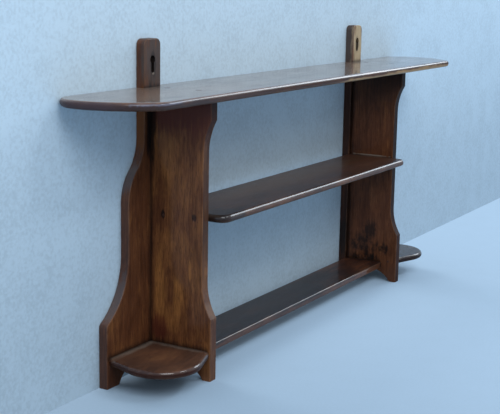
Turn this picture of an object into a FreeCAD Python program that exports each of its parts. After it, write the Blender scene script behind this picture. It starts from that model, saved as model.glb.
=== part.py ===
"""Wooden wall shelf: a long notched top shelf on two shaped uprights, with a shaped back board behind each
upright that rises through the top shelf as a hanging tab, two shelves between the uprights and a round
corner shelf outside each of them. X runs along the wall, -Y to the front, Z up from the floor."""
import FreeCAD, Part
import math
import os
from types import SimpleNamespace

import Sketcher

SIZES = {
    # Boards
    "shelf_span": 630.0,        # clear width between the two uprights
    "upright_board": 16.0,      # thickness of an upright
    "back_board": 13.0,         # thickness of a back board
    "shelf_board": 11.0,        # thickness of every shelf
    "nose": 5.0,                # rounding of the shelves' front edges
    "arris": 1.6,               # easing of the uprights' and back boards' edges
    "shelf_arris": 2.2,         # easing of the bottom shelf's front edge
    # Top shelf
    "top_height": 400.0,        # floor to its upper face
    "top_depth": 136.0,         # wall to its nose
    "top_overhang": 200.0,      # from an upright's outer face to the widest place of the end
    "top_widest": 41.0,         # wall to that place
    "top_back_corner": 49.0,    # radius of the ends behind it
    "top_corner_run": 63.0,     # how far the ends' sweep before it reaches along the front
    "top_corner": 31.0,         # radius where that sweep leaves the front, the ends' own bow follows from it
    # Middle shelf
    "middle_height": 231.5,     # floor to its upper face
    "middle_depth": 124.0,      # wall to its nose
    "middle_corner": 16.0,      # radius of its front corners
    "housing_depth": 4.0,       # how far its ends go into the uprights
    "housing_stop": 5.0,        # how far its housings stop short of the uprights' fronts
    # Bottom shelf
    "bottom_height": 35.0,      # floor to its upper face
    "bottom_depth": 83.0,       # wall to its front
    # Corner shelves, in the corner of back board and upright: a round with two straight flanks
    "corner_height": 43.0,      # floor to their upper faces
    "corner_radius": 55.0,
    "corner_reach": 60.0,       # centre of the round from back board and from upright
    "corner_tip": 97.0,         # where the flanks meet back board and upright
    # Uprights
    "waist_depth": 97.5,        # wall to the straight part of the front
    "crown_step": 12.0,         # how far the top stands forward of the waist
    "crown_height": 28.0,
    "cove_height": 45.0,
    "foot_step": 14.5,          # how far the foot stands forward of the waist
    "foot_height": 88.5,
    "flare_height": 48.0,
    "toe": 13.0,                # flat at each end of the arch
    "arch_height": 20.5,
    # Back boards
    "tab_width": 38.5,
    "tab_inset": 7.0,           # how far the inner edge stands inside the upright's inner face
    "tab_height": 65.5,         # above the top shelf
    "tab_corner": 9.0,
    "shoulder_drop": 68.0,      # from the top shelf's upper face down to the start of the shoulder
    "shoulder_height": 86.0,
    "shoulder_step": 36.0,
    "wing_step": 50.0,          # how far the foot stands out from the wing's straight edge
    "wing_flare": 88.0,         # height of the hollow above the foot
    "wing_corner": 7.0,         # radius where the hollow meets the foot
    "wing_toe": 28.0,
    # Keyholes in the tabs
    "key_drop": 28.0,           # tab's top to the centre of the round part
    "key_radius": 5.5,
    "key_slot": 6.5,            # width of the slot below the round part
    "key_length": 15.0,         # centre of the round part to the centre of the slot's end
    # Nails
    "nail_shank": 1.2,          # radius
    "nail_head": 2.0,           # radius
    "nail_head_thick": 1.5,
    "nail_length": 30.0,
    "nail_set": 2.0,            # how far the head is punched under the surface
    "nail_back": 21.0,          # back nail from the back board's front
    "nail_front": 13.0,         # front nail from the front of what it goes through
    "corner_nail": 23.0,        # each side of the corner shelf's centre
    # Screws and plugs
    "screw_shank": 1.9,         # radius
    "screw_head": 3.8,          # radius
    "screw_length": 30.0,
    "screw_point": 5.0,         # length of the tapered end, nails too
    "screw_slot": 0.9,          # width and depth of the slot
    "screw_low": 65.0,          # lowest back screw above the floor
    "screw_high": 38.0,         # highest back screw below the upright's top
    "plug_radius": 4.5,
    "plug_depth": 4.5,
    "blunt": 0.4,               # radius of the points' ends
    "fit_gap": 0.1,             # clearance round fasteners, plugs, tabs and housed ends
}
BACK_SCREW_COUNT = 4
LEAST_NOSE_FLAT = 0.2           # half of the flat left between two roundings of one edge
EDGE_MARGIN = 1.0               # slack when edges are picked by where they lie
FLAT = 1e-6                     # an edge this thin lies in a plane
SIDES = {"left": -1, "right": 1}
TO_FRONT = FreeCAD.Vector(0, -1, 0)
TO_FLOOR = FreeCAD.Vector(0, 0, -1)
TO_CEILING = FreeCAD.Vector(0, 0, 1)

doc = FreeCAD.newDocument("wall_shelf")
sheet = doc.addObject("Spreadsheet::Sheet", "Sizes")
for row, (alias, number) in enumerate(SIZES.items(), start=1):
    sheet.set(f"A{row}", alias)
    sheet.set(f"B{row}", str(number))
    sheet.setAlias(f"B{row}", alias)
doc.recompute()


class Size:
    """A number kept with the sheet expression that gives it, so that a formula binds as it is written."""

    def __init__(self, text, number):
        self.text = text
        self.number = number

    def __add__(self, other):
        other = as_size(other)
        return Size(f"({self.text} + {other.text})", self.number + other.number)

    def __sub__(self, other):
        other = as_size(other)
        return Size(f"({self.text} - {other.text})", self.number - other.number)

    def __mul__(self, other):
        other = as_size(other)
        return Size(f"({self.text} * {other.text})", self.number * other.number)

    def __truediv__(self, other):
        other = as_size(other)
        return Size(f"({self.text} / {other.text})", self.number / other.number)

    def __neg__(self):
        return Size(f"(0 - {self.text})", -self.number)

    def root(self):
        return Size(f"sqrt({self.text})", math.sqrt(self.number))

    def limited(self, other):
        return Size(f"min({self.text}; {other.text})", min(self.number, other.number))


def as_size(value):
    return value if isinstance(value, Size) else Size(f"({float(value)})", float(value))


def bind(item, path, value):
    item.setExpression(path, as_size(value).text)


def bow_radius(run, rise):
    """Radius of the arc that leaves one line tangentially and steps aside by rise over run."""
    return (run * run + rise * rise) / (rise * 2)


size = SimpleNamespace(**{name: Size(f"Sizes.{name}", number) for name, number in SIZES.items()})
zero = as_size(0)
wall = size.top_depth / 2
inner_face = size.shelf_span / 2
outer_face = inner_face + size.upright_board
upright_top = size.top_height - size.shelf_board
crown_depth = size.waist_depth + size.crown_step
foot_depth = size.waist_depth + size.foot_step
tab_inner = inner_face - size.tab_inset
tab_outer = tab_inner + size.tab_width
tab_centre = tab_inner + size.tab_width / 2
tab_top = size.top_height + size.tab_height
middle_level = size.middle_height - size.shelf_board
bottom_level = size.bottom_height - size.shelf_board
corner_level = size.corner_height - size.shelf_board
corner_centre = outer_face + size.corner_reach
housing_front = size.waist_depth - size.housing_stop
nose = size.nose.limited(size.shelf_board / 2 - LEAST_NOSE_FLAT)


# Bodies, sketches and features

def new_body(label, across=zero, level=zero):
    body = doc.addObject("PartDesign::Body", label)
    body.Label = label
    bind(body, "Placement.Base.x", across)
    bind(body, "Placement.Base.y", wall)
    bind(body, "Placement.Base.z", level)
    return body


def arc_between(start, end, radius, turn):
    """Arc under a half circle from start to end, turning left (1) or right (-1)."""
    chord = end - start
    reach = math.sqrt(radius ** 2 - (chord.Length / 2) ** 2)
    across = FreeCAD.Vector(-chord.y, chord.x, 0).normalize()
    centre = (start + end) / 2 + across * (reach * turn)
    first, last = (start, end) if turn > 0 else (end, start)
    angles = [math.atan2(point.y - centre.y, point.x - centre.x) for point in (first, last)]
    if angles[1] < angles[0]:
        angles[1] += 2 * math.pi
    return Part.ArcOfCircle(Part.Circle(centre, FreeCAD.Vector(0, 0, 1), radius), *angles)


def draw(body, role, name, outline, offset=zero):
    """Closed sketch on one of the body's planes. A corner is (x, y), or (x, y, radius, turn) where an arc
    leads on to the next corner."""
    sketch = body.newObject("Sketcher::SketchObject", f"{body.Name}_{name}")
    plane = [item for item in body.Origin.OriginFeatures if item.Role == role]
    sketch.AttachmentSupport = [(plane[0], "")]
    sketch.MapMode = "FlatFace"
    bind(sketch, "AttachmentOffset.Base.z", offset)
    points = [FreeCAD.Vector(corner[0].number, corner[1].number, 0) for corner in outline]
    count = len(outline)
    starts = []
    for index, corner in enumerate(outline):
        start, end = points[index], points[(index + 1) % count]
        if len(corner) > 2:
            sketch.addGeometry(arc_between(start, end, corner[2].number, corner[3]), False)
            starts.append(1 if corner[3] > 0 else 2)
        else:
            sketch.addGeometry(Part.LineSegment(start, end), False)
            starts.append(1)
    for index, corner in enumerate(outline):
        follower = (index + 1) % count
        sketch.addConstraint(Sketcher.Constraint("Coincident", index, 3 - starts[index],
                                                 follower, starts[follower]))
        for kind, axis, value in (("DistanceX", -2, corner[0]), ("DistanceY", -1, corner[1])):
            if value is zero:
                sketch.addConstraint(Sketcher.Constraint("PointOnObject", index, starts[index], axis))
                continue
            place = sketch.addConstraint(Sketcher.Constraint(kind, index, starts[index], value.number))
            bind(sketch, f"Constraints[{place}]", value)
        if len(corner) > 2:
            place = sketch.addConstraint(Sketcher.Constraint("Radius", index, corner[2].number))
            bind(sketch, f"Constraints[{place}]", corner[2])
    return sketch


def pad(body, sketch, length):
    feature = body.newObject("PartDesign::Pad", f"{sketch.Name}_pad")
    feature.Profile = sketch
    bind(feature, "Length", length)
    doc.recompute()
    return feature


def pocket(body, sketch, length):
    """Cut along the sketch's normal, and make sure that it took something away."""
    before = body.Tip.Shape.Volume
    feature = body.newObject("PartDesign::Pocket", f"{sketch.Name}_pocket")
    feature.Profile = sketch
    feature.Reversed = True
    bind(feature, "Length", length)
    doc.recompute()
    if not feature.Shape.Volume < before:
        raise RuntimeError(f"{feature.Name} cuts nothing")
    return feature


def round_edges(body, radius, wanted):
    """Fillet the edges of the body's last feature that the test picks."""
    doc.recompute()
    last = body.Tip
    names = [f"Edge{index}" for index, edge in enumerate(last.Shape.Edges, start=1) if wanted(edge)]
    feature = body.newObject("PartDesign::Fillet", f"{last.Name}_fillet")
    feature.Base = (last, names)
    bind(feature, "Radius", radius)
    doc.recompute()
    return feature


def level_edge(edge):
    return edge.BoundBox.ZLength < FLAT


def mirrored(outline, side):
    """The right-hand outline itself, or its mirror image for the left side."""
    return [(corner[0] * side, corner[1]) if len(corner) == 2 else
            (corner[0] * side, corner[1], corner[2], corner[3] * side) for corner in outline]


# Boards

def top_shelf():
    """Long board, notched at the back for the two tabs. Each end is three arcs in one sweep: a small one that
    leaves the front, a wide one that bows out to the widest place and a small one from there to the wall."""
    end = outer_face + size.top_overhang
    run, widest, corner = size.top_corner_run, size.top_widest, size.top_corner
    short = size.top_depth - widest - corner
    bow = (run * run + short * short - corner * corner) / ((run - corner) * 2)
    knuckle_across = end - bow + bow * (bow - run) / (bow - corner)
    knuckle_depth = widest + bow * short / (bow - corner)
    back_corner = size.top_back_corner
    end_at_wall = end - back_corner + (back_corner * back_corner - widest * widest).root()
    notch_inner = tab_inner - size.fit_gap
    notch_outer = tab_outer + size.fit_gap
    notch_depth = size.back_board + size.fit_gap
    outline = [
        (-end_at_wall, zero, back_corner, 1),
        (-end, -widest, bow, 1),
        (-knuckle_across, -knuckle_depth, corner, 1),
        (run - end, -size.top_depth),
        (end - run, -size.top_depth, corner, 1),
        (knuckle_across, -knuckle_depth, bow, 1),
        (end, -widest, back_corner, 1),
        (end_at_wall, zero),
        (notch_outer, zero),
        (notch_outer, -notch_depth),
        (notch_inner, -notch_depth),
        (notch_inner, zero),
        (-notch_inner, zero),
        (-notch_inner, -notch_depth),
        (-notch_outer, -notch_depth),
        (-notch_outer, zero),
    ]
    body = new_body("top_shelf_board", level=upright_top)
    pad(body, draw(body, "XY_Plane", "outline", outline), size.shelf_board)

    def nosed(edge):
        far_end = abs(edge.CenterOfMass.x) > (notch_outer + size.top_overhang / 2).number
        return level_edge(edge) and (far_end or edge.BoundBox.YMax < -(notch_depth + EDGE_MARGIN).number)

    round_edges(body, nose, nosed)
    return body


def middle_shelf():
    """Board with its ends in stopped housings; its front overhangs the uprights with rounded corners."""
    tongue = inner_face + size.housing_depth - size.fit_gap
    front_side = inner_face - size.fit_gap
    stop = housing_front - size.fit_gap
    bend = size.middle_depth - size.middle_corner
    outline = [
        (-tongue, -size.back_board),
        (-tongue, -stop),
        (-front_side, -stop),
        (-front_side, -bend, size.middle_corner, 1),
        (size.middle_corner - front_side, -size.middle_depth),
        (front_side - size.middle_corner, -size.middle_depth, size.middle_corner, 1),
        (front_side, -bend),
        (front_side, -stop),
        (tongue, -stop),
        (tongue, -size.back_board),
    ]
    body = new_body("middle_shelf_board", level=middle_level)
    pad(body, draw(body, "XY_Plane", "outline", outline), size.shelf_board)

    def nosed(edge):
        return level_edge(edge) and edge.CenterOfMass.y < -(stop + EDGE_MARGIN).number

    round_edges(body, nose, nosed)
    return body


def bottom_shelf():
    """Plain board butted between the uprights, with an eased front edge."""
    outline = [
        (-inner_face, -size.back_board),
        (-inner_face, -size.bottom_depth),
        (inner_face, -size.bottom_depth),
        (inner_face, -size.back_board),
    ]
    body = new_body("bottom_shelf_board", level=bottom_level)
    pad(body, draw(body, "XY_Plane", "outline", outline), size.shelf_board)

    def front(edge):
        return level_edge(edge) and edge.BoundBox.YMax < -(size.bottom_depth - EDGE_MARGIN).number

    round_edges(body, size.shelf_arris.limited(size.shelf_board / 2 - LEAST_NOSE_FLAT), front)
    return body


def corner_shelf(name, side):
    """Round board with a square inner corner. Its flanks run from the back board and from the upright to the
    points where they touch the round, found from the tangent length."""
    radius, reach, tip = size.corner_radius, size.corner_reach, size.corner_tip
    past = tip - reach
    apart = past * past + reach * reach
    tangent = (apart - radius * radius).root()
    far = reach + radius * (radius * past + tangent * reach) / apart
    near = reach - radius * (radius * reach - tangent * past) / apart
    right_hand = [
        (outer_face, -size.back_board),
        (outer_face + tip, -size.back_board),
        (outer_face + far, -(size.back_board + near), radius, -1),
        (outer_face + near, -(size.back_board + far)),
        (outer_face, -(size.back_board + tip)),
    ]
    outline = mirrored(right_hand, side)
    body = new_body(f"{name}_corner_shelf_board", level=corner_level)
    pad(body, draw(body, "XY_Plane", "outline", outline), size.shelf_board)

    def nosed(edge):
        centre = edge.CenterOfMass
        off_upright = abs(centre.x) > (outer_face + EDGE_MARGIN).number
        return level_edge(edge) and off_upright and centre.y < -(size.back_board + EDGE_MARGIN).number

    round_edges(body, nose, nosed)
    return body


def upright(name, side):
    """Board square to the wall: block at the top, cove, straight waist, flared foot and an arch below."""
    outline = [
        (-size.back_board, zero),
        (-size.back_board, upright_top),
        (-crown_depth, upright_top),
        (-crown_depth, upright_top - size.crown_height, bow_radius(size.cove_height, size.crown_step), -1),
        (-size.waist_depth, upright_top - size.crown_height - size.cove_height),
        (-size.waist_depth, size.foot_height + size.flare_height,
         bow_radius(size.flare_height, size.foot_step), -1),
        (-foot_depth, size.foot_height),
        (-foot_depth, zero),
        (size.toe - foot_depth, zero,
         bow_radius((foot_depth - size.back_board) / 2 - size.toe, size.arch_height), -1),
        (-(size.back_board + size.toe), zero),
    ]
    near_face = inner_face if side > 0 else -outer_face
    body = new_body(f"{name}_upright_board", across=near_face)
    pad(body, draw(body, "YZ_Plane", "outline", outline), size.upright_board)

    corners = [(-crown_depth, upright_top - size.crown_height), (-foot_depth, size.foot_height)]

    def shaped(edge):
        """The front's and the arch's long edges, and the two sharp corners that the front has."""
        box = edge.BoundBox
        centre = edge.CenterOfMass
        at_front = box.YMax < -(size.waist_depth - EDGE_MARGIN).number
        in_arch = box.ZMax < (size.arch_height + EDGE_MARGIN).number
        at_corner = any(math.hypot(centre.y - depth.number, centre.z - up.number) < EDGE_MARGIN
                        for depth, up in corners)
        along = box.XLength < FLAT and box.ZLength > EDGE_MARGIN and (at_front or in_arch)
        return along or at_corner

    round_edges(body, size.arris, shaped)
    housing = [
        (-size.back_board, middle_level),
        (-size.back_board, size.middle_height),
        (-housing_front, size.middle_height),
        (-housing_front, middle_level),
    ]
    housing_floor = zero if side > 0 else size.upright_board - size.housing_depth
    pocket(body, draw(body, "YZ_Plane", "housing", housing, housing_floor), size.housing_depth)
    return body


def back_board(name, side):
    """Board flat on the wall behind an upright: arched foot, flare, straight edge, shoulder and tab. The
    foot's rounded corner touches the flare's circle from outside, at the share of the line of centres."""
    waist = tab_outer + size.shoulder_step
    foot = waist + size.wing_step
    shoulder_top = size.top_height - size.shoulder_drop
    shoulder_middle = shoulder_top - size.shoulder_height / 2
    shoulder_radius = bow_radius(size.shoulder_height / 2, size.shoulder_step / 2)
    arch_radius = bow_radius((foot - tab_inner) / 2 - size.wing_toe, size.arch_height)
    flare = bow_radius(size.wing_flare, size.wing_step)
    flare_top = size.foot_height + size.wing_flare
    corner = size.wing_corner
    drop = (size.wing_step * (flare * 2 + corner * 2 - size.wing_step)).root()
    share = flare / (flare + corner)
    right_hand = [
        (tab_inner, zero),
        (tab_inner + size.wing_toe, zero, arch_radius, -1),
        (foot - size.wing_toe, zero),
        (foot, zero),
        (foot, flare_top - drop, corner, 1),
        (waist + flare - (flare - size.wing_step + corner) * share, flare_top - drop * share, flare, -1),
        (waist, flare_top),
        (waist, shoulder_top - size.shoulder_height, shoulder_radius, 1),
        (waist - size.shoulder_step / 2, shoulder_middle, shoulder_radius, -1),
        (tab_outer, shoulder_top),
        (tab_outer, tab_top - size.tab_corner, size.tab_corner, 1),
        (tab_outer - size.tab_corner, tab_top),
        (tab_inner + size.tab_corner, tab_top, size.tab_corner, 1),
        (tab_inner, tab_top - size.tab_corner),
    ]
    outline = mirrored(right_hand, side)
    body = new_body(f"{name}_back_board_panel")
    pad(body, draw(body, "XZ_Plane", "outline", outline), size.back_board)

    def on_front(edge):
        box = edge.BoundBox
        return box.YMax < -(size.back_board - EDGE_MARGIN).number and box.ZMax > EDGE_MARGIN

    round_edges(body, size.arris, on_front)
    return body


# Fasteners and their holes, all as round steps along one line

def place(item, start, heading):
    """Stand an item at start with its own +Z along heading."""
    item.Placement = FreeCAD.Placement(FreeCAD.Vector(), FreeCAD.Rotation(TO_CEILING, heading))
    for axis, value in zip("xyz", start):
        bind(item, f"Placement.Base.{axis}", value)


def advance(start, heading, length):
    return tuple(value + length * part for value, part in zip(start, heading))


def turned(name, steps, start, heading):
    """Fused row of cylinders and cones. A step is (first radius, last radius, length)."""
    pieces = []
    for first, last, length in steps:
        straight = first is last
        piece = doc.addObject("Part::Cylinder" if straight else "Part::Cone", f"{name}_step")
        bind(piece, "Radius" if straight else "Radius1", first)
        if not straight:
            bind(piece, "Radius2", last)
        bind(piece, "Height", length)
        place(piece, start, heading)
        start = advance(start, heading, length)
        pieces.append(piece)
    if len(pieces) == 1:
        return pieces[0]
    whole = doc.addObject("Part::MultiFuse", name)
    whole.Shapes = pieces
    return whole


def pointed(head, last, head_length, shank, length):
    """Steps of a nail or screw: head, straight shank, tapered point."""
    return [(head, last, head_length), (shank, shank, length - head_length - size.screw_point),
            (shank, size.blunt, size.screw_point)]


def nail(name, start, heading):
    """Nail punched under the surface, the filler over its head and the hole for both."""
    filler = turned(f"{name}_filler", [(size.nail_head, size.nail_head, size.nail_set)], start, heading)
    sunk = advance(start, heading, size.nail_set)
    steps = pointed(size.nail_head, size.nail_head, size.nail_head_thick, size.nail_shank, size.nail_length)
    body = turned(name, steps, sunk, heading)
    head = size.nail_head + size.fit_gap
    shank = size.nail_shank + size.fit_gap
    wide = size.nail_set + size.nail_head_thick
    hole = turned(f"{name}_hole", pointed(head, head, wide, shank, size.nail_set + size.nail_length),
                  start, heading)
    return SimpleNamespace(filler=filler, body=body, hole=hole)


def screw(name, start, heading, plug_depth=None):
    """Countersunk slotted screw, flush or under a wooden plug, and its hole."""
    head_length = size.screw_head - size.screw_shank
    head = size.screw_head + size.fit_gap
    shank = size.screw_shank + size.fit_gap
    hole_steps = pointed(head, shank, head_length, shank, size.screw_length)
    plug = None
    seat = start
    if plug_depth:
        plug = turned(f"{name}_plug", [(size.plug_radius, size.plug_radius, plug_depth)], start, heading)
        seat = advance(start, heading, plug_depth)
        wide = size.plug_radius + size.fit_gap
        hole_steps = [(wide, wide, plug_depth)] + hole_steps
    steps = pointed(size.screw_head, size.screw_shank, head_length, size.screw_shank, size.screw_length)
    whole = turned(f"{name}_whole", steps, seat, heading)
    blade = doc.addObject("Part::Box", f"{name}_blade")
    bind(blade, "Length", size.screw_head * 2)
    bind(blade, "Width", size.screw_slot)
    bind(blade, "Height", size.screw_slot)
    turn = FreeCAD.Rotation(TO_CEILING, heading)
    along, across = turn.multVec(FreeCAD.Vector(1, 0, 0)), turn.multVec(FreeCAD.Vector(0, 1, 0))
    corner = advance(advance(seat, [round(part) for part in along], -size.screw_head),
                     [round(part) for part in across], size.screw_slot / -2)
    place(blade, corner, heading)
    body = doc.addObject("Part::Cut", name)
    body.Base = whole
    body.Tool = blade
    return SimpleNamespace(plug=plug, body=body, hole=turned(f"{name}_hole", hole_steps, start, heading))


def keyhole(name, side):
    """Round hole through the tab with a slot below it."""
    centre = (tab_centre * side, wall, tab_top - size.key_drop)
    foot = (centre[0], wall, centre[2] - size.key_length)
    slot = doc.addObject("Part::Box", f"{name}_slot")
    bind(slot, "Length", size.key_slot)
    bind(slot, "Width", size.back_board)
    bind(slot, "Height", size.key_length)
    place(slot, (centre[0] - size.key_slot / 2, wall - size.back_board, foot[2]), TO_CEILING)
    ends = [turned(f"{name}_{part}", [(radius, radius, size.back_board)], point, TO_FRONT)
            for part, radius, point in (("round", size.key_radius, centre), ("end", size.key_slot / 2, foot))]
    whole = doc.addObject("Part::MultiFuse", name)
    whole.Shapes = [slot] + ends
    return whole


def group(label, items):
    item = doc.addObject("Part::Compound", label)
    item.Label = label
    item.Links = items
    return item


def drilled(label, body, holes):
    item = doc.addObject("Part::Cut", label)
    item.Label = label
    item.Base = body
    item.Tool = group(f"{label}_holes", holes)
    return item


# Where the fasteners go

shelf_middle = size.shelf_board / 2
upright_middle = inner_face + size.upright_board / 2
screw_pitch = (upright_top - size.screw_low - size.screw_high) / (BACK_SCREW_COUNT - 1)
first_depth = size.back_board + size.nail_back
waist_depths = (first_depth, size.waist_depth - size.nail_front)
bottom_depths = (first_depth, size.bottom_depth - size.nail_front)
corner_middle = size.back_board + size.corner_reach
corner_depths = (corner_middle - size.corner_nail, corner_middle + size.corner_nail)
middle_nail_level = size.middle_height - shelf_middle
bottom_nail_level = size.bottom_height - shelf_middle
corner_nail_level = size.corner_height - shelf_middle
screw_levels = [size.screw_low + screw_pitch * step for step in range(BACK_SCREW_COUNT)]


def side_fasteners(name, side):
    """All the fasteners of one side, by what they hold."""
    inwards = FreeCAD.Vector(-side, 0, 0)
    outwards = FreeCAD.Vector(side, 0, 0)
    outside, inside = outer_face * side, inner_face * side
    along_upright, along_corner = upright_middle * side, corner_centre * side
    return SimpleNamespace(
        middle=[nail(f"{name}_middle_nail", (outside, wall - depth, middle_nail_level), inwards)
                for depth in waist_depths],
        bottom=[nail(f"{name}_bottom_nail", (outside, wall - depth, bottom_nail_level), inwards)
                for depth in bottom_depths],
        corner=[nail(f"{name}_corner_nail", (inside, wall - depth, corner_nail_level), outwards)
                for depth in corner_depths],
        corner_back=[nail(f"{name}_corner_back_nail", (along_corner, wall, corner_nail_level), TO_FRONT)],
        top=[screw(f"{name}_top_screw", (along_upright, wall - depth, size.top_height), TO_FLOOR,
                   size.plug_depth) for depth in waist_depths],
        back=[screw(f"{name}_back_screw", (along_upright, wall, level), TO_FRONT) for level in screw_levels],
    )


fasteners = {name: side_fasteners(name, side) for name, side in SIDES.items()}


def gathered(kinds, attribute):
    return [getattr(item, attribute) for side in SIDES for kind in kinds
            for item in getattr(fasteners[side], kind)]


def holes_of(side_name, kinds):
    return [item.hole for kind in kinds for item in getattr(fasteners[side_name], kind)]


# The pieces

nodes = [
    drilled("top_shelf", top_shelf(), gathered(["top"], "hole")),
    drilled("middle_shelf", middle_shelf(), gathered(["middle"], "hole")),
    drilled("bottom_shelf", bottom_shelf(), gathered(["bottom"], "hole")),
]
for name, side in SIDES.items():
    nodes += [
        drilled(f"{name}_upright", upright(name, side),
                holes_of(name, ["middle", "bottom", "corner", "top", "back"])),
        drilled(f"{name}_back_board", back_board(name, side),
                holes_of(name, ["back", "corner_back"]) + [keyhole(f"{name}_keyhole", side)]),
        drilled(f"{name}_corner_shelf", corner_shelf(name, side), holes_of(name, ["corner", "corner_back"])),
    ]
nodes += [
    group("top_screws", gathered(["top"], "body")),
    group("top_plugs", gathered(["top"], "plug")),
    group("back_screws", gathered(["back"], "body")),
    group("corner_back_nails", gathered(["corner_back"], "body")),
]
for level in ("middle", "bottom", "corner"):
    nodes += [
        group(f"{level}_nails", gathered([level], "body")),
        group(f"{level}_nail_fillers", gathered([level], "filler")),
    ]

doc.recompute()
failed = [item.Label for item in doc.Objects if {"Invalid", "Error"} & set(item.State)]
failed += [node.Label for node in nodes if node.Shape.isNull() or not node.Shape.isValid()]
if failed:
    raise RuntimeError(f"failed: {failed}")
os.makedirs("parts", exist_ok=True)
for node in nodes:
    node.Shape.exportStep(f"parts/{node.Label}.step")
    box = node.Shape.optimalBoundingBox()
    print(f"{node.Label}: {len(node.Shape.Solids)} solids, {node.Shape.Volume:.0f} mm3,"
          f" {box.XLength:.1f} x {box.YLength:.1f} x {box.ZLength:.1f}")
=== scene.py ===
"""Looks of the wooden wall shelf: dark stained and waxed boards with grain, patina and worn edges, in front of
a pale wall on a pale floor."""

import bpy
import numpy as np
from mathutils import Matrix, Vector

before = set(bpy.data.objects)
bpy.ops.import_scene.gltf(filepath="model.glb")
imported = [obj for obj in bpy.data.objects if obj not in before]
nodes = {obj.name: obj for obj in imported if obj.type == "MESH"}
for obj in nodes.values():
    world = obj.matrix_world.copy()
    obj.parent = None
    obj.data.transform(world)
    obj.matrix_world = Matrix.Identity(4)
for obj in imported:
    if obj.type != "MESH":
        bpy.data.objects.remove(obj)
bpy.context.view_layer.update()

# Places on the shelf, in metres
WALL = 0.068                    # plane of the boards' backs
BACK_FRONT = 0.055              # front face of the back boards
BACK_MIDDLE = 0.0615            # middle of their thickness
STRIP_EDGE = 0.308              # their inner edges, between the uprights
KEYHOLE = 0.32725               # their keyholes' distance from the middle
UPRIGHT_INNER, UPRIGHT_MIDDLE, UPRIGHT_OUTER = 0.315, 0.323, 0.331
TOP_UNDER, TOP_ABOVE = 0.389, 0.400
MIDDLE_UNDER, MIDDLE_TOP = 0.2205, 0.2315
BOTTOM_TOP = 0.035
CORNER_TOP = 0.043


# Shader maths

class Value:
    """A node's output. Sums, differences and products of values add Math nodes."""

    def __init__(self, finish, socket):
        self.finish = finish
        self.socket = socket

    def worked(self, operation, first, second):
        """Result of an operation on two values or numbers."""
        return self.finish.node("Math", {"operation": operation}, {0: first, 1: second})

    def __add__(self, other):
        return self.worked("ADD", self, other)

    def __radd__(self, other):
        return self.worked("ADD", other, self)

    def __sub__(self, other):
        return self.worked("SUBTRACT", self, other)

    def __rsub__(self, other):
        return self.worked("SUBTRACT", other, self)

    def __mul__(self, other):
        return self.worked("MULTIPLY", self, other)

    def __rmul__(self, other):
        return self.worked("MULTIPLY", other, self)


MIX_UNDER, MIX_OVER, MIX_RESULT = 6, 7, 2   # colour sockets of a Mix node


class Finish:
    """A material or a world while its nodes are made. Every node comes from node()."""

    def __init__(self, holder):
        self.holder = holder
        holder.use_nodes = True
        self.tree = holder.node_tree
        self.tree.nodes.clear()

    def node(self, kind, settings=(), inputs=(), output=0):
        """Add a node: its settings first, with a ramp's stops as (place, colour), then its sockets."""
        made = self.tree.nodes.new(f"ShaderNode{kind}")
        for name, setting in dict(settings).items():
            if name == "stops":
                while len(made.color_ramp.elements) < len(setting):
                    made.color_ramp.elements.new(0.5)
                for stop, (place, colour) in zip(made.color_ramp.elements, setting):
                    stop.position = place
                    stop.color = (*colour, 1)
            else:
                setattr(made, name, setting)
        for name, value in dict(inputs).items():
            if isinstance(value, Value):
                self.tree.links.new(value.socket, made.inputs[name])
            else:
                made.inputs[name].default_value = value
        return Value(self, made.outputs[output]) if made.outputs else None

    def eased(self, value, low, high, start=0.0, end=1.0):
        """Smooth step from start at low to end at high."""
        return self.node("MapRange", {"interpolation_type": "SMOOTHSTEP"},
                         dict(enumerate((value, low, high, start, end))))

    def unsigned(self, value):
        """Value without its sign."""
        return self.node("Math", {"operation": "ABSOLUTE"}, {0: value})

    def length(self, vector):
        """Root of the sum of a vector's squared parts."""
        return self.node("VectorMath", {"operation": "LENGTH"}, {0: vector}, "Value")

    def split(self, vector):
        """The three parts of a vector."""
        return [self.node("SeparateXYZ", {}, {0: vector}, part) for part in "XYZ"]

    def mixed(self, share, under, over, blend="MIX"):
        """Colour that goes from under to over with share."""
        sides = {MIX_UNDER: under, MIX_OVER: over}
        sides = {place: side if isinstance(side, Value) else (*side, 1) for place, side in sides.items()}
        return self.node("Mix", {"data_type": "RGBA", "blend_type": blend}, {0: share, **sides}, MIX_RESULT)

    def dimmed(self, colour, share):
        """Colour times a share."""
        return self.mixed(1.0, colour, self.node("CombineXYZ", {}, dict.fromkeys(range(3), share)), "MULTIPLY")

    def noise(self, point, scale, detail=2.0, roughness=0.5):
        """Sum of detail layers of noise, each twice as fine as the last and weaker by roughness."""
        return self.node("TexNoise", {}, {"Vector": point, "Scale": scale, "Detail": detail,
                                          "Roughness": roughness})

    def stretched(self, parts, factors, shifts):
        """Point with each of its parts scaled and shifted."""
        return self.node("CombineXYZ", {}, {place: part * factor + shift for place, (part, factor, shift)
                                            in enumerate(zip(parts, factors, shifts))})

    def rays_seen(self):
        """One for the rays that show a background: those of the camera, of reflections and through glass."""
        return sum(self.node("LightPath", output=f"Is {ray} Ray") for ray in ("Camera", "Glossy", "Transmission"))


# Wood

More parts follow.
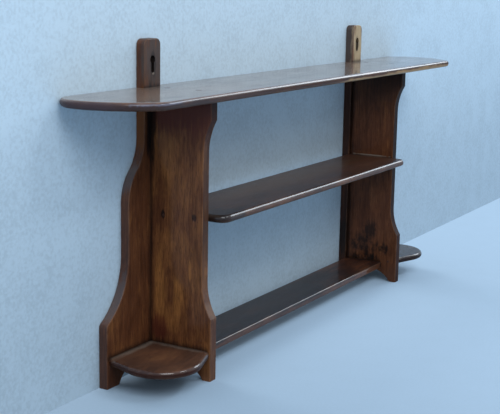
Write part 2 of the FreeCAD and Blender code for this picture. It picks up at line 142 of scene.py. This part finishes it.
DEEP = (0.034, 0.0112, 0.0064)
BROWN = (0.094, 0.0342, 0.0146)
AMBER = (0.225, 0.092, 0.0285)
WORN = (0.25, 0.15, 0.09)
# dark of grime, and of painted shade in seams, corners and holes
GRIME_AND_SHADE = (0.0070, 0.0044, 0.0036)
DUST = (0.21, 0.175, 0.145)
INK = (0.0062, 0.0050, 0.0050)
GREYED = (0.066, 0.054, 0.050)
# painted light: a tan face lit brighter, with its sheen
PAINTED_LIGHT_TAN = (0.46, 0.36, 0.22)
MAHOGANY = (0.076, 0.0165, 0.0105)
# greyed wood, with a painted bluish sheen on edges
ASH_AND_SHEEN = (0.085, 0.088, 0.100)
HONEY = (0.40, 0.24, 0.105)
OLIVE = (0.085, 0.047, 0.022)
FOXED = (0.120, 0.042, 0.012)
# painted bluish reflection on a nose
PAINTED_BLUE_SHEEN = (0.135, 0.15, 0.22)
GREASE = (0.064, 0.045, 0.054)
PATINA_STOPS = [(0.1, DEEP), (0.5, BROWN), (0.95, AMBER)]
EVEN_STAIN = 0.5                # patina of plain brown

GRAINS = {"x": (0, 1, 2), "z": (2, 1, 0), "zx": (2, 0, 1)}     # axes along, across and through a board

# Noises: waves a metre along, across and through the board, detail, roughness, and where the seed shifts them
GRAIN_NOISES = {
    "sway": ((2.2, 6.0, 6.0), 2.0, 0.5, (1, 0, 1)),
    "ripple": ((12.0, 30.0, 30.0), 2.0, 0.5, (0, 1, 0)),
    "streaks": ((7.0, 210.0, 210.0), 3.0, 0.62, (1, 1, 0)),
    "fibres": ((30.0, 900.0, 900.0), 3.0, 0.7, (0, 0, 1)),
    "mottle": ((14.0, 30.0, 30.0), 5.0, 0.66, (1, 0, 0)),
    "pores": ((95.0, 1300.0, 1300.0), 1.0, 0.5, (0, 0, 0)),
    "grit": ((40.0, 150.0, 150.0), 4.0, 0.6, (0, 1, 1)),
    "blotch": ((45.0, 60.0, 60.0), 6.0, 0.72, (1, 0, 0)),
}
MEAN = 0.5                      # of a noise
PORE_EDGE = (0.57, 0.70)        # noise at which a pore begins and is full
BLOTCH_EDGE = (0.36, 0.58)
PORE_SHARE = 0.6
HEART_LEAN = 0.012              # slope of the log's heart to the board
RINGS = 520.0                   # waves a metre
RING_DETAIL, RING_ROUGHNESS = 3.0, 0.6

# Shares of the noises in the bend of the rings, in ragged outlines, and in the stain, its shade, rubbed arrises,
# settled dust, relief, roughness and wax
BEND = {"sway": 0.045, "ripple": 0.004}
RAGGED = {"mottle": 0.7, "streaks": 1.3, "grit": 0.9}
PATINA = {"mottle": 1.0, "streaks": 0.28, "rings": 0.16}
SHADE = {"rings": 0.3, "fibres": 1.1, "streaks": 0.4, "grit": 0.5}
RUB = {"mottle": 0.6, "grit": 0.4}
SETTLED = {"mottle": 1.0}
RELIEF = {"pores": -0.6, "fibres": 0.5, "rings": 0.25, "mottle": 1.6, "blotch": 0.12}
ROUGH = {"fibres": 0.16, "mottle": 0.2}
WAX = {"mottle": 0.5, "streaks": 0.3}
SHADE_EASE = (-0.4, 0.4, 0.62, 1.34)    # from and to, then what the colour is multiplied by at each
RUB_EASE = (-0.08, 0.06, 0.15, 1.0)     # from and to, then the share that is rubbed at each

# Parts of the normal at which each begins and is full: through the board, upwards for LEVEL, out of a face for FACE
EDGE = (0.85, 0.3)
RIM = (0.97, 0.8)
ARRIS_FROM_EDGE, ARRIS_FROM_FACE = (0.1, 0.35), (0.985, 0.9)
LEVEL = (0.85, 0.99)
FACE = (0.4, 0.8)

PLACE_EDGE = (1.15, 0.5)        # share of an ellipsoid's reach at which it begins and is full
CALM_REACH = 0.025              # reach beyond which its edge gets calmer
SEAM_RAGGED = 0.5               # raggedness of a seam as a share of its reach
SEAM_RAGGED_MOST = 0.006
SEAM_END = 0.004                # length over which a seam ends
WOOD_ROUGHNESS = 0.48
WOOD_IOR = 1.5
WAX_LEVEL = 0.9
WAX_EASE = 0.25                 # slope over which wax thins out on an edge
WAX_BELOW = 0.08                # share of it that is left there
HANDLED_WAX = 0.5               # share of it that hands wear off
BUMP, BUMP_DEPTH = 0.5, 0.0004


def stained_wood(name, grain, seed, pith, tone=0.0, seams=(), patches_and_painted_shade=(), stains_and_painted_light=(), blots=(), edge_stains_and_painted_light=(),
                 handled=(), coat=0.2, edge_coat=0.0, waxed_above=0.0, coat_rough=0.2, coat_ior=1.5, gloss=0.15,
                 wear=0.4, dust=0.0, dark_edges=0.0):
    """Waxed dark wood cut from a log whose heart runs along the grain at pith (places across and through).
    Rings are noise over the distance from the heart, bent by slow noises. Fibres and streaks are noise stretched
    along the grain. Tone shifts the whole board from thick stain to thin.
    Patches are ragged ellipsoids (place, reach, strength) where the stain is thin (+) or thick (-); some thick ones
    are painted shade in corners and under the top shelf. Stains are such places with a colour of their own, and
    some of them are painted shade, highlights or sheen; those on edges keep to the board's edges and the walls of
    its holes, blots are dark and broken up by noise, and at handled places hands have darkened the edges and worn
    wax off.
    Seams are planes (axis, place, reach, strength, face, lowest, highest) where grime and painted shade darken the
    wood, on one face or on all, between two heights, or between two depths for a level seam.
    Wear is how much the arrises are rubbed, where the normal lies between the board's faces and its edges, dust
    is what lies on level faces, and dark_edges is how much darker the edges are stained than the faces.
    Coat and edge_coat are the wax on faces and edges, thin on edges below the upward slope waxed_above, and
    gloss is the sheen of the wood under it."""
    finish = Finish(bpy.data.materials.new(name))
    point = finish.node("TexCoord", output="Object")
    place_parts = finish.split(point)
    facing = finish.split(finish.node("NewGeometry", output="Normal"))
    board_parts = [place_parts[axis] for axis in GRAINS[grain]]
    along, across, thick = board_parts

    noises = {}
    for kind, (waves, detail, roughness, shifts) in GRAIN_NOISES.items():
        stretched = finish.stretched(board_parts, waves, [seed * shift for shift in shifts])
        noises[kind] = finish.noise(stretched, 1.0, detail, roughness)
    noises["pores"] = finish.eased(noises["pores"], *PORE_EDGE)
    noises["blotch"] = finish.eased(noises["blotch"], *BLOTCH_EDGE)

    def blend(shares):
        """Sum of the noises about their mean, each times its share."""
        return sum((noises[kind] - MEAN) * share for kind, share in shares.items())

    from_heart = finish.length(finish.node("CombineXYZ", {}, {0: across - pith[0], 1: thick - pith[1]}))
    radius = from_heart + along * HEART_LEAN + blend(BEND)
    noises["rings"] = finish.node("TexNoise", {"noise_dimensions": "1D"}, {
        "W": radius * RINGS + seed, "Scale": 1.0, "Detail": RING_DETAIL, "Roughness": RING_ROUGHNESS})
    ragged = blend(RAGGED)

    def within(place, reach):
        """One inside a ragged ellipsoid, nought outside it. The larger it is, the calmer its edge."""
        away = finish.node("VectorMath", {"operation": "SUBTRACT"}, {0: point, 1: place})
        away = finish.length(finish.node("VectorMath", {"operation": "DIVIDE"}, {0: away, 1: reach}))
        return finish.eased(away + ragged * min(1.0, CALM_REACH / min(reach[1:])), *PLACE_EDGE)

    flat = finish.unsigned(facing[GRAINS[grain][2]])
    edge = finish.eased(flat, *EDGE)
    rim = finish.eased(flat, *RIM)
    edge_wax = finish.eased(facing[2], waxed_above - WAX_EASE, waxed_above + WAX_EASE,
                            edge_coat * WAX_BELOW, edge_coat)

    patina = EVEN_STAIN + tone + blend(PATINA) - edge * dark_edges
    for place, reach, strength in patches_and_painted_shade:
        patina = patina + within(place, reach) * strength
    colour = finish.node("ValToRGB", {"stops": PATINA_STOPS}, {0: patina})
    colour = finish.dimmed(colour, finish.eased(blend(SHADE), *SHADE_EASE))
    colour = finish.mixed(noises["pores"] * PORE_SHARE, colour, DEEP)
    for place, reach, strength, tint in stains_and_painted_light:
        colour = finish.mixed(within(place, reach) * strength, colour, tint)
    for place, reach, strength in blots:
        colour = finish.mixed(within(place, reach) * noises["blotch"] * strength, colour, INK)
    for place, reach, strength, tint in edge_stains_and_painted_light:
        colour = finish.mixed(within(place, reach) * edge * strength, colour, tint)

    arris = finish.eased(flat, *ARRIS_FROM_EDGE) * finish.eased(flat, *ARRIS_FROM_FACE)
    colour = finish.mixed(arris * finish.eased(blend(RUB), *RUB_EASE) * wear, colour, WORN)
    if dust:
        colour = finish.mixed(finish.eased(facing[2], *LEVEL) * (1.0 + blend(SETTLED)) * dust, colour, DUST)
    for place, reach, strength in handled:
        touched = within(place, reach)
        colour = finish.mixed(touched * rim * strength, colour, GREASE)
        edge_wax = edge_wax * (1.0 - touched * HANDLED_WAX)
    # seams darken the wood with grime and with painted shade in corners and under shelves
    for axis, place, reach, strength, face, lowest, highest in seams:
        part = place_parts["xyz".index(axis)]
        if axis == "x":
            part = finish.unsigned(part)
        away = finish.unsigned(part - place) + ragged * min(reach * SEAM_RAGGED, SEAM_RAGGED_MOST)
        dirt_and_shade = finish.eased(away, 0.0, reach, strength, 0.0)
        if face:
            sign, axis_of_face = face
            outward = facing["xyz".index(axis_of_face)] * (1.0 if sign == "+" else -1.0)
            dirt_and_shade = dirt_and_shade * finish.eased(outward, *FACE)
        run = place_parts[1 if axis == "z" else 2]
        dirt_and_shade = dirt_and_shade * finish.eased(run, lowest, lowest + SEAM_END) * finish.eased(run, highest, highest - SEAM_END)
        colour = finish.mixed(dirt_and_shade, colour, GRIME_AND_SHADE)

    bumped = finish.node("Bump", {}, {"Strength": BUMP, "Distance": BUMP_DEPTH, "Height": blend(RELIEF)})
    wax = (rim * (edge_wax - coat) + coat) * (WAX_LEVEL + blend(WAX))
    shader = finish.node("BsdfPrincipled", {}, {
        "Base Color": colour, "Roughness": WOOD_ROUGHNESS + blend(ROUGH), "Normal": bumped, "IOR": WOOD_IOR,
        "Specular IOR Level": gloss, "Coat Weight": wax, "Coat Roughness": coat_rough, "Coat IOR": coat_ior})
    finish.node("OutputMaterial", {}, {0: shader})
    return finish.holder


RUST_WAVES, METAL_GRIT_WAVES = 900.0, 5200.0
RUST_EDGE = (0.42, 0.66)
RUST_DULLS, RUST_ROUGHENS, GRIT_ROUGHENS = 0.8, 0.25, 0.2


def old_metal(name, bright, rust, roughness):
    """Dull metal with brown blotches of noise, which are rougher and less metallic."""
    finish = Finish(bpy.data.materials.new(name))
    point = finish.node("TexCoord", output="Object")
    blotch = finish.eased(finish.noise(point, RUST_WAVES, 3.0, 0.6), *RUST_EDGE)
    grit = finish.noise(point, METAL_GRIT_WAVES)
    shader = finish.node("BsdfPrincipled", {}, {
        "Base Color": finish.mixed(blotch, bright, rust), "Metallic": 1.0 - blotch * RUST_DULLS,
        "Roughness": roughness + blotch * RUST_ROUGHENS + (grit - MEAN) * GRIT_ROUGHENS,
        "Normal": finish.node("Bump", {}, {"Strength": 0.4, "Distance": 0.0001, "Height": grit})})
    finish.node("OutputMaterial", {}, {0: shader})
    return finish.holder


def dress(name, material):
    """Give a CAD node one material in place of its own."""
    slots = nodes[name].data.materials
    slots.clear()
    slots.append(material)


# Dirt and painted shade in the seams

ALL_HEIGHTS = (-0.01, TOP_UNDER)
ALL_DEPTHS = (-0.08, 0.08)
CORNER_DEPTHS = (-0.042, WALL)
BOTTOM_DEPTHS = (-0.015, WALL)


def upright_seams(outside, inside):
    """Dirt and painted shade on an upright: under the top shelf, against the back board and round the shelves."""
    return [("z", TOP_UNDER, 0.012, 0.5, "", *ALL_DEPTHS),
            ("y", BACK_FRONT, 0.006, 0.7, outside, *ALL_HEIGHTS),
            ("y", BACK_FRONT, 0.007, 0.8, inside, *ALL_HEIGHTS),
            ("z", CORNER_TOP, 0.008, 0.7, outside, *CORNER_DEPTHS),
            ("z", MIDDLE_UNDER, 0.016, 0.8, inside, *ALL_DEPTHS),
            ("z", BOTTOM_TOP, 0.008, 0.7, inside, *BOTTOM_DEPTHS)]


BACK_SEAMS = [("x", UPRIGHT_OUTER, 0.008, 0.7, "-y", *ALL_HEIGHTS),
              ("x", STRIP_EDGE, 0.013, 0.4, "", *ALL_HEIGHTS),
              ("x", UPRIGHT_INNER, 0.012, 0.75, "-y", *ALL_HEIGHTS),
              ("z", TOP_UNDER, 0.018, 0.5, "-y", *ALL_DEPTHS),
              ("z", CORNER_TOP, 0.008, 0.7, "-y", *ALL_DEPTHS),
              ("z", TOP_ABOVE, 0.006, 0.6, "-y", *ALL_DEPTHS)]
SHELF_SEAMS = [("x", UPRIGHT_INNER, 0.014, 0.65, "", *ALL_HEIGHTS)]
CORNER_SEAMS = [("x", UPRIGHT_OUTER, 0.007, 0.7, "+z", *ALL_HEIGHTS),
                ("y", BACK_FRONT, 0.006, 0.7, "+z", *ALL_HEIGHTS)]


# Boards, with the places of their marks

UNBOUND = 9.0                   # reach past every edge
EVERYWHERE = ((0.0, 0.0, 0.2), (UNBOUND, UNBOUND, UNBOUND))
SKIN, SOAKED, THROUGH = 0.004, 0.02, 0.03       # reaches into a board
# keyhole walls darkened with grime and painted shade
KEYHOLE_WALLS = ((0.011, THROUGH, 0.019), 0.9, GRIME_AND_SHADE)
KEYHOLE_RIM = (0.0085, SKIN, 0.0165)
KEYHOLE_HEIGHT, KEYHOLE_RIM_HEIGHT = 0.431, 0.432


def on_face(plane, through, *rows):
    """Places on an upright's face from rows of depth, height, their reaches and the rest of the mark."""
    return [((plane, depth, height), (through, wide, tall), *rest) for depth, height, wide, tall, *rest in rows]


LEFT_FACE, RIGHT_FACE = -UPRIGHT_OUTER, UPRIGHT_INNER       # of the uprights, seen from the front left

dress("left_upright", stained_wood(
    "left_upright_wood", "z", 3.1, (0.02, -0.39), 0.1, upright_seams("-x", "+x"),
    patches_and_painted_shade=on_face(LEFT_FACE, THROUGH,
                    (0.041, 0.118, 0.009, 0.055, 0.42), (0.0085, 0.112, 0.009, 0.032, 0.42),
                    (-0.010, 0.153, 0.003, 0.014, 0.5), (0.0195, 0.082, 0.022, 0.022, 0.22),
                    # the second row is painted shade in the corner above the corner shelf
                    (0.0245, 0.30, 0.022, 0.035, 0.12), (0.046, 0.060, 0.022, 0.02, -0.22),
                    # painted shade: thicker stain under the top shelf
                    (0.008, 0.382, 0.08, 0.044, -0.12)),
    stains_and_painted_light=[*on_face(LEFT_FACE, SKIN,
                     (0.0345, 0.2275, 0.0034, 0.0065, 0.9, INK), (-0.0158, 0.2275, 0.0040, 0.0050, 0.75, INK),
                     (0.0305, 0.2724, 0.004, 0.010, 0.35, INK)),
            # a redder stain, darkened as painted shade under the top shelf
            *on_face(LEFT_FACE, THROUGH, (0.0, 0.384, 0.09, 0.05, 0.85, MAHOGANY)),
            # painted shade in the corner by the back board, under the top shelf
            *on_face(LEFT_FACE, SKIN, (0.054, 0.36, 0.010, 0.07, 0.8, INK)),
            *on_face(LEFT_FACE, SOAKED, (0.042, 0.066, 0.017, 0.020, 0.6, MAHOGANY))],
    edge_stains_and_painted_light=[(*EVERYWHERE, 0.14, ASH_AND_SHEEN),
                 *on_face(-UPRIGHT_MIDDLE, THROUGH,
                          # the second row is painted shade on the crown's front under the top shelf
                          (-0.0295, 0.235, 0.012, 0.11, 0.35, INK), (-0.0415, 0.378, 0.02, 0.05, 0.9, DEEP),
                          # painted highlight: a paler arris at the foot of the cove
                          (-0.040, 0.101, 0.009, 0.014, 0.3, WORN))],
    coat=0.4, edge_coat=1.0, waxed_above=0.25, coat_rough=0.14, gloss=0.06, wear=0.2))
dress("right_upright", stained_wood(
    "right_upright_wood", "z", 8.4, (0.01, 0.25), -0.1,
    # the last seam is painted shade: the inner face darkens over 0.11 m below the top shelf
    [*upright_seams("+x", "-x"), ("z", TOP_UNDER, 0.11, 0.72, "-x", *ALL_DEPTHS)],
    stains_and_painted_light=on_face(RIGHT_FACE, SKIN, (0.012, 0.2326, 0.042, 0.0015, 0.85, DUST)),
    blots=on_face(RIGHT_FACE, SOAKED,
                  (0.024, 0.062, 0.034, 0.030, 0.85), (0.010, 0.092, 0.016, 0.022, 0.75),
                  (0.020, 0.041, 0.036, 0.009, 0.95), (-0.016, 0.060, 0.014, 0.014, 0.9)),
    edge_stains_and_painted_light=on_face(UPRIGHT_MIDDLE, THROUGH, (-0.035, 0.28, 0.03, 0.15, 0.6, INK)),
    coat=0.3, edge_coat=0.5, waxed_above=0.35, coat_rough=0.2, gloss=0.06, wear=0.25, dark_edges=0.45))
dress("left_back_board", stained_wood(
    "left_back_wood", "zx", 5.7, (-0.36, 0.12), -0.04, BACK_SEAMS,
    patches_and_painted_shade=[((-0.398, BACK_FRONT, 0.075), (0.04, THROUGH, 0.05), 0.12)],
    stains_and_painted_light=[((-0.327, 0.052, 0.437), (0.04, 0.013, 0.05), 0.75, GREYED),
            # painted shade in the corner by the upright, under the top shelf
            ((-0.3335, BACK_FRONT, 0.352), (0.0105, 0.008, 0.062), 0.9, INK),
            ((-KEYHOLE, BACK_FRONT, KEYHOLE_RIM_HEIGHT), KEYHOLE_RIM, 0.6, INK),
            # painted highlight at the lower end of the keyhole
            ((-0.3262, BACK_FRONT, 0.4186), (0.0026, 0.004, 0.0019), 0.75, DUST)],
    # the first and third rows paint a bluish sheen on the sloping side edge
    edge_stains_and_painted_light=[((-0.371, BACK_MIDDLE, 0.284), (0.02, THROUGH, 0.032), 0.55, ASH_AND_SHEEN),
                 ((-0.4325, BACK_MIDDLE, 0.03), (0.006, THROUGH, 0.06), 0.1, INK),
                 ((-0.408, BACK_MIDDLE, 0.118), (0.035, THROUGH, 0.04), 0.55, ASH_AND_SHEEN),
                 (*EVERYWHERE, 0.16, ASH_AND_SHEEN),
                 ((-0.3465, BACK_MIDDLE, 0.355), (0.006, THROUGH, 0.055), 0.8, FOXED),
                 ((-KEYHOLE, BACK_MIDDLE, KEYHOLE_HEIGHT), *KEYHOLE_WALLS)],
    coat=0.35, edge_coat=0.25, coat_rough=0.25, gloss=0.06, wear=0.15, dark_edges=0.08))
dress("right_back_board", stained_wood(
    "right_back_wood", "zx", 1.9, (0.35, 0.14), -0.06, BACK_SEAMS,
    # painted shade: the strip darkens low down and under the top shelf, in the corner by the upright
    stains_and_painted_light=[((STRIP_EDGE, 0.062, 0.075), (0.006, THROUGH, 0.035), 0.8, INK),
            ((STRIP_EDGE, 0.062, 0.33), (0.006, THROUGH, 0.10), 0.8, DEEP),
            ((STRIP_EDGE, 0.062, 0.435), (0.006, 0.02, 0.06), 0.9, GREYED),
            # painted light and sheen on the right tab's front
            ((0.329, 0.053, 0.435), (0.026, 0.008, 0.06), 0.95, PAINTED_LIGHT_TAN),
            ((KEYHOLE, BACK_FRONT, KEYHOLE_RIM_HEIGHT), KEYHOLE_RIM, 0.7, INK)],
    edge_stains_and_painted_light=[(*EVERYWHERE, 0.08, ASH_AND_SHEEN), ((KEYHOLE, BACK_MIDDLE, KEYHOLE_HEIGHT), *KEYHOLE_WALLS)],
    coat=0.3, edge_coat=0.25, coat_rough=0.25, gloss=0.06, wear=0.2, dark_edges=0.25))
dress("top_shelf", stained_wood(
    "top_shelf_wood", "x", 2.6, (0.0, 0.33), 0.06,
    patches_and_painted_shade=[((-0.36, -0.02, TOP_ABOVE), (0.2, 0.05, 0.02), 0.3),
             ((-0.46, -0.02, 0.39), (0.13, 0.12, 0.012), -0.3)],
    stains_and_painted_light=[((0.30, -0.068, 0.3900), (0.33, 0.02, 0.0055), 0.85, HONEY)],
    edge_stains_and_painted_light=[((-0.45, 0.0, 0.395), (0.25, 0.2, 0.03), 0.2, ASH_AND_SHEEN),
                 # painted bluish reflection on the left end's nose
                 ((-0.470, -0.058, 0.3984), (0.065, 0.035, 0.0036), 0.75, PAINTED_BLUE_SHEEN)],
    handled=[((-0.53, 0.035, TOP_ABOVE), (0.05, 0.075, 0.3), 0.75)],
    coat=1.0, edge_coat=1.0, waxed_above=0.5, coat_rough=0.1, coat_ior=1.6, gloss=0.15, wear=0.1, dust=0.5,
    dark_edges=0.35))
dress("middle_shelf", stained_wood(
    "middle_shelf_wood", "x", 7.3, (-0.01, 0.17), -0.15, SHELF_SEAMS,
    stains_and_painted_light=[((0.0, 0.0, 0.2330), (UNBOUND, UNBOUND, 0.006), 0.45, INK),
            ((0.0, 0.02, MIDDLE_TOP), (0.28, 0.035, 0.02), 0.4, OLIVE),
            ((-0.30, -0.035, MIDDLE_TOP), (0.06, 0.045, 0.02), 0.6, INK)],
    coat=0.36, edge_coat=0.9, coat_rough=0.09, gloss=0.15, wear=0.15, dark_edges=-0.1))
dress("bottom_shelf", stained_wood(
    "bottom_shelf_wood", "x", 4.8, (0.02, -0.03), -0.35, SHELF_SEAMS,
    stains_and_painted_light=[((-0.1, 0.02, 0.0365), (0.46, 0.09, 0.006), 0.74, INK)],
    coat=0.34, edge_coat=1.0, coat_rough=0.09, gloss=0.15, wear=0.3, dark_edges=-0.25))
for side, sign, seed, darkness, coat in (("left", -1, 6.2, 0.0, 0.3), ("right", 1, 9.5, 0.55, 0.7)):
    dress(f"{side}_corner_shelf", stained_wood(
        f"{side}_corner_wood", "x", seed, (0.0, -0.02), -0.2, CORNER_SEAMS,
        patches_and_painted_shade=[((sign * 0.378, 0.004, CORNER_TOP), (0.038, 0.036, 0.02), 0.25)],
        stains_and_painted_light=[(*EVERYWHERE, darkness, INK),
                ((sign * 0.38, 0.053, CORNER_TOP), (0.07, 0.012, 0.006), 0.5, DUST),
                ((sign * 0.333, 0.0, CORNER_TOP), (0.010, 0.06, 0.006), 0.4, DUST)],
        coat=coat, edge_coat=1.0, waxed_above=0.3, coat_rough=0.11, coat_ior=1.55, gloss=0.1, wear=0.1, dust=0.1,
        dark_edges=0.3))


# Fasteners and what covers them

plug_wood = stained_wood("plug_wood", "x", 11.0, (0.0, 0.2), -0.3, coat=0.45, coat_rough=0.1, gloss=0.2, dust=0.1)
filler_wax = stained_wood("filler_wax", "x", 12.5, (0.0, 0.2), -0.6, coat_rough=0.3, gloss=0.3, wear=0.0)
dress("top_plugs", plug_wood)
for level in ("middle", "bottom", "corner"):
    dress(f"{level}_nail_fillers", filler_wax)
screw_steel = old_metal("screw_steel", (0.30, 0.28, 0.25), (0.09, 0.045, 0.02), 0.38)
nail_iron = old_metal("nail_iron", (0.12, 0.11, 0.1), (0.06, 0.03, 0.015), 0.5)
for name in ("top_screws", "back_screws"):
    dress(name, screw_steel)
for name in ("corner_back_nails", "middle_nails", "bottom_nails", "corner_nails"):
    dress(name, nail_iron)


# Stage

SPECKS = ((240.0, 2.0, 0.65), (22.0, 3.0, 0.35))    # waves a metre, detail and share of two noises
SPECK_EDGE = (0.3, 0.62)
REACH = 6.0                     # of floor and wall from the middle
BACKDROP_PLANE = WALL + 0.001


def plain_plane(name, corners):
    """Flat rectangle through four corners, turned to the object."""
    mesh = bpy.data.meshes.new(name)
    mesh.from_pydata(np.array(corners, float).tolist(), [], [(0, 1, 2, 3)])
    plane = bpy.data.objects.new(name, mesh)
    bpy.context.scene.collection.objects.link(plane)
    return plane


def plaster(name, colour, speckle, fade, one_sided, shade):
    """Pale matt paint with faint specks that fades out between two distances from the middle. Shade (axis, low,
    high, share) is painted shade that darkens it slowly to a share of its colour from high to low. A one-sided
    surface shows only from its front and in reflections, so that it neither hides the object from behind nor
    darkens its back."""
    finish = Finish(bpy.data.materials.new(name))
    point = finish.node("TexCoord", output="Object")
    specks = sum(finish.noise(point, waves, detail) * share for waves, detail, share in SPECKS)
    tint = finish.mixed(finish.eased(specks, *SPECK_EDGE), [part * (1 - speckle) for part in colour], colour)
    axis, low_end, high_end, share = shade
    run = finish.node("SeparateXYZ", {}, {0: point}, axis)
    tint = finish.dimmed(tint, finish.eased(run, low_end, high_end, share, 1.0))
    shader = finish.node("BsdfPrincipled", {}, {"Base Color": tint, "Roughness": 0.9, "Specular IOR Level": 0.2})
    shown = finish.eased(finish.length(point), *fade, 1.0, 0.0)
    if one_sided:
        shown = shown * finish.rays_seen() * (1.0 - finish.node("NewGeometry", output="Backfacing"))
    shader = finish.node("MixShader", {}, {0: shown, 1: finish.node("BsdfTransparent"), 2: shader})
    finish.node("OutputMaterial", {}, {0: shader})
    return finish.holder


floor = plain_plane("floor", [(-REACH, -REACH, 0), (REACH, -REACH, 0), (REACH, REACH, 0), (-REACH, REACH, 0)])
floor.data.materials.append(plaster(
    "floor_paint", (0.41, 0.575, 0.75), speckle=0.03, fade=(2.2, 4.5), one_sided=False,
    shade=("X", -0.7, 0.1, 0.78)))
backdrop = plain_plane("backdrop", [(-REACH, BACKDROP_PLANE, 0), (REACH, BACKDROP_PLANE, 0),
                                    (REACH, BACKDROP_PLANE, REACH), (-REACH, BACKDROP_PLANE, REACH)])
backdrop.data.materials.append(plaster(
    "wall_paint", (0.54, 0.695, 0.82), speckle=0.14, fade=(1.6, 2.6), one_sided=True,
    shade=("Z", 0.05, 0.55, 0.76)))


# Light

def softbox(name, place, target, width, height, watts, colour):
    """Elliptic light of a width and a height, turned to a target."""
    lamp = bpy.data.lights.new(name, "AREA")
    lamp.shape = "ELLIPSE"
    lamp.size = width
    lamp.size_y = height
    lamp.energy = watts
    lamp.color = colour
    box = bpy.data.objects.new(name, lamp)
    box.location = place
    box.rotation_euler = (Vector(target) - Vector(place)).to_track_quat("-Z", "Y").to_euler()
    bpy.context.scene.collection.objects.link(box)


softbox("key", (-1.9, -1.9, 2.4), (0, 0, 0.2), width=2.0, height=2.0, watts=54.0, colour=(0.97, 0.98, 1.0))
softbox("front", (0.5, -2.0, 2.5), (0, 0, 0.2), width=1.1, height=0.4, watts=14.0, colour=(0.88, 0.94, 1.0))
softbox("rim", (3.0, -0.85, 1.85), (0.2, 0, 0.25), width=2.0, height=1.2, watts=32.0, colour=(0.82, 0.91, 1.0))
softbox("behind", (0.6, 2.6, 1.9), (0, 0, 0.2), width=1.6, height=1.6, watts=22.0, colour=(1.0, 0.98, 0.96))

studio = Finish(bpy.data.worlds.new("studio"))
sky = studio.node("Background", {}, {"Color": (0.90, 0.95, 1.0, 1), "Strength": 0.55})
haze = studio.node("Background", {}, {"Color": (0.38, 0.51, 0.64, 1)})
studio.node("OutputWorld", {}, {0: studio.node("MixShader", {}, {0: studio.rays_seen(), 1: sky, 2: haze})})
bpy.context.scene.world = studio.holder


# Camera, as fitted to the photograph

LENS, SENSOR = 84.895, 36.0     # millimetres
CAMERA_PLACE = (-1.6497, -0.8571, 0.5509)
CAMERA_AXES = np.array([[0.4995172, -0.86611697, 0.01799906],       # to the right of the picture
                        [0.15802117, 0.11152476, 0.9811175],        # to its top
                        [-0.85176985, -0.48724083, 0.19257335]])    # out of it
camera = bpy.data.objects.new("camera", bpy.data.cameras.new("camera"))
camera.data.lens = LENS
camera.data.sensor_width = SENSOR
camera.matrix_world = Matrix.Translation(CAMERA_PLACE) @ Matrix(CAMERA_AXES.T.tolist()).to_4x4()
bpy.context.scene.collection.objects.link(camera)
bpy.context.scene.camera = camera
bpy.context.scene.view_settings.view_transform = "Standard"
